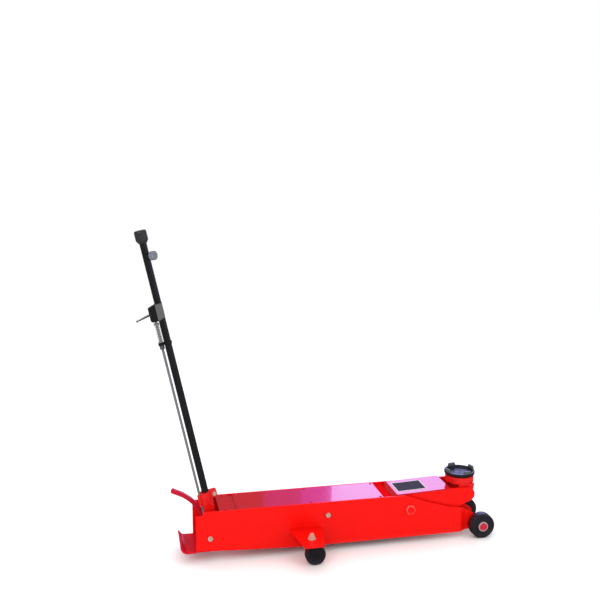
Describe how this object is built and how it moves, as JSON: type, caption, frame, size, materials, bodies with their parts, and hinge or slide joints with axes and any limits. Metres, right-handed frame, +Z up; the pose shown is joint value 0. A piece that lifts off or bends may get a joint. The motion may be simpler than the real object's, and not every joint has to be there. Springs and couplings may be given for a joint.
{
  "type": "car jack",
  "caption": "Long-chassis hydraulic service jack with a lifting arm, round saddle, tall pump handle, foot pedal, front rollers and side casters.",
  "frame": {"origin": "on the floor, under the middle of the jack's overall box", "axes": "+X forward to the saddle, +Y to the left of the jack, +Z up"},
  "size_m": [1.7462, 0.6, 1.5703],
  "materials": {
    "red_enamel": "glossy red enamel over steel plate",
    "red_casting": "red enamel over a sand casting",
    "black_enamel": "satin black powder coat",
    "black_wheel": "hard black nylon roller",
    "black_knob": "moulded black grip plastic",
    "saddle_iron": "black oxide cast iron",
    "bright_steel": "bright plated steel",
    "zinc_steel": "zinc plated fasteners",
    "bare_steel": "oiled machined steel",
    "label": "dark plain label panel"
  },
  "bodies": {
    "chassis": {"side_plate_left": "red_enamel", "side_plate_right": "red_enamel", "rear_step": "red_enamel", "middle_cross_tube": "red_enamel", "middle_tie_bolt": "zinc_steel", "handle_pivot_pin": "zinc_steel", "cylinder_support": "red_enamel", "front_cross_strip": "red_enamel", "top_cover": "red_enamel", "pump_cover": "red_enamel", "cover_screws": "red_enamel", "front_axle": "bare_steel", "axle_caps": "red_casting", "caster_bracket_left": "red_enamel", "caster_bracket_right": "red_enamel", "kingpin_bolts": "zinc_steel", "pump_body": "red_casting", "filler_plug": "zinc_steel", "cylinder_tube": "bare_steel", "reservoir_tank": "red_enamel", "gland_nut": "bare_steel", "lock_quadrant": "bare_steel", "arm_pivot_shaft": "red_enamel", "pivot_shaft_nuts": "red_enamel", "link_anchor": "red_casting", "ram_spring": "bare_steel", "plunger_spring": "bare_steel"},
    "front_wheel_left": {"front_wheel_left": "black_wheel"},
    "front_wheel_right": {"front_wheel_right": "black_wheel"},
    "caster_left": {"caster_fork_left": "black_enamel"},
    "caster_right": {"caster_fork_right": "black_enamel"},
    "caster_wheel_left": {"caster_wheel_left": "black_wheel"},
    "caster_wheel_right": {"caster_wheel_right": "black_wheel"},
    "lift_arm": {"arm_cheek_left": "red_enamel", "arm_cheek_right": "red_enamel", "arm_top_plate": "red_enamel", "label_plate": "label", "crank_pin": "bare_steel", "cradle_pin": "red_enamel"},
    "cradle": {"cradle": "red_casting"},
    "saddle": {"saddle": "saddle_iron"},
    "levelling_link": {"levelling_link": "bare_steel"},
    "ram": {"ram": "bright_steel", "ram_yoke": "red_enamel"},
    "pump_plunger": {"pump_plunger": "bare_steel"},
    "foot_plunger": {"foot_plunger": "bare_steel"},
    "foot_pedal": {"foot_pedal": "red_enamel"},
    "handle": {"handle_socket": "red_casting", "socket_bolt": "zinc_steel", "handle_tube": "black_enamel", "lever_bracket": "black_enamel", "rod_guide": "black_enamel", "lock_spring": "zinc_steel"},
    "pump_roller": {"pump_roller": "bare_steel"},
    "release_knob": {"release_knob": "black_knob", "release_shaft": "bare_steel"},
    "screw_knob": {"screw_knob": "bright_steel"},
    "lock_rod": {"lock_rod": "bright_steel", "rod_nut": "bright_steel"},
    "lock_lever": {"lock_lever": "zinc_steel"}
  },
  "joints": [
    {"name": "front_wheel_left_spin", "type": "hinge", "parent": "chassis", "child": "front_wheel_left", "pos_m": [0.81009, 0.085, 0.063], "axis": [0, 1, 0], "continuous": true},
    {"name": "front_wheel_right_spin", "type": "hinge", "parent": "chassis", "child": "front_wheel_right", "pos_m": [0.81009, -0.085, 0.063], "axis": [0, 1, 0], "continuous": true},
    {"name": "caster_left_swivel", "type": "hinge", "parent": "chassis", "child": "caster_left", "pos_m": [-0.09591, 0.222, 0.126], "axis": [0, 0, 1], "continuous": true},
    {"name": "caster_right_swivel", "type": "hinge", "parent": "chassis", "child": "caster_right", "pos_m": [-0.09591, -0.222, 0.126], "axis": [0, 0, 1], "continuous": true},
    {"name": "caster_wheel_left_spin", "type": "hinge", "parent": "caster_left", "child": "caster_wheel_left", "pos_m": [-0.07991, 0.222, 0.0487], "axis": [0, 1, 0], "continuous": true},
    {"name": "caster_wheel_right_spin", "type": "hinge", "parent": "caster_right", "child": "caster_wheel_right", "pos_m": [-0.07991, -0.222, 0.0487], "axis": [0, 1, 0], "continuous": true},
    {"name": "arm_lift", "type": "hinge", "parent": "chassis", "child": "lift_arm", "pos_m": [0.43009, 0, 0.177], "axis": [0, -1, 0], "range_deg": [0, 55]},
    {"name": "cradle_level", "type": "hinge", "parent": "lift_arm", "child": "cradle", "pos_m": [0.74209, 0, 0.222], "axis": [0, -1, 0], "range_deg": [-55.01, 0.01]},
    {"name": "saddle_spin", "type": "hinge", "parent": "cradle", "child": "saddle", "pos_m": [0.73109, 0, 0.3], "axis": [0, 0, 1], "continuous": true},
    {"name": "link_swing", "type": "hinge", "parent": "chassis", "child": "levelling_link", "pos_m": [0.45344, 0, 0.14452], "axis": [0, -1, 0], "range_deg": [-0.01, 55.01]},
    {"name": "ram_slide", "type": "slide", "parent": "chassis", "child": "ram", "axis": [1, 0, 0], "range_m": [-0.00001, 0.07758], "deforming": ["ram_spring"]},
    {"name": "handle_pump", "type": "hinge", "parent": "chassis", "child": "handle", "pos_m": [-0.55991, 0, 0.12], "axis": [0, -1, 0], "range_deg": [0, 55]},
    {"name": "roller_spin", "type": "hinge", "parent": "handle", "child": "pump_roller", "pos_m": [-0.5793, 0, 0.08275], "axis": [0, 1, 0], "continuous": true},
    {"name": "plunger_slide", "type": "slide", "parent": "chassis", "child": "pump_plunger", "axis": [1, 0, 0], "range_m": [-0.00001, 0.0388], "deforming": ["plunger_spring"]},
    {"name": "pedal_press", "type": "hinge", "parent": "chassis", "child": "foot_pedal", "pos_m": [-0.55991, 0.055, 0.12], "axis": [0, -1, 0], "range_deg": [0, 22], "stiffness_Nm_per_rad": 8, "springref_deg": -20.05},
    {"name": "foot_plunger_slide", "type": "slide", "parent": "chassis", "child": "foot_plunger", "axis": [1, 0, 0], "range_m": [-0.00001, 0.01528]},
    {"name": "release_turn", "type": "hinge", "parent": "handle", "child": "release_knob", "pos_m": [-0.83139, 0, 1.50598], "axis": [-0.213, 0, 0.977], "range_deg": [0, 180]},
    {"name": "screw_knob_turn", "type": "hinge", "parent": "handle", "child": "screw_knob", "pos_m": [-0.8184, 0, 1.44638], "axis": [0.7485, -0.6428, 0.1632], "range_deg": [0, 360]},
    {"name": "lock_rod_slide", "type": "slide", "parent": "handle", "child": "lock_rod", "axis": [0.213, 0, -0.977], "range_m": [0, 0.00827], "stiffness_N_per_m": 1500, "springref_m": -0.012, "deforming": ["lock_spring"]},
    {"name": "lock_lever_squeeze", "type": "hinge", "parent": "handle", "child": "lock_lever", "pos_m": [-0.80634, 0, 1.17983], "axis": [0, 1, 0], "range_deg": [-0.01, 32.01]}
  ],
  "couplings": [
    {"joint": "cradle_level", "follows": "arm_lift", "ratio": -1},
    {"joint": "link_swing", "follows": "arm_lift", "ratio": 1},
    {"joint": "ram_slide", "follows": "arm_lift", "m_per_rad": 0.080812},
    {"joint": "plunger_slide", "follows": "handle_pump", "m_per_rad": 0.040406},
    {"joint": "foot_plunger_slide", "follows": "pedal_press", "m_per_rad": 0.039755},
    {"joint": "lock_lever_squeeze", "follows": "lock_rod_slide", "rad_per_m": 67.541}
  ]
}
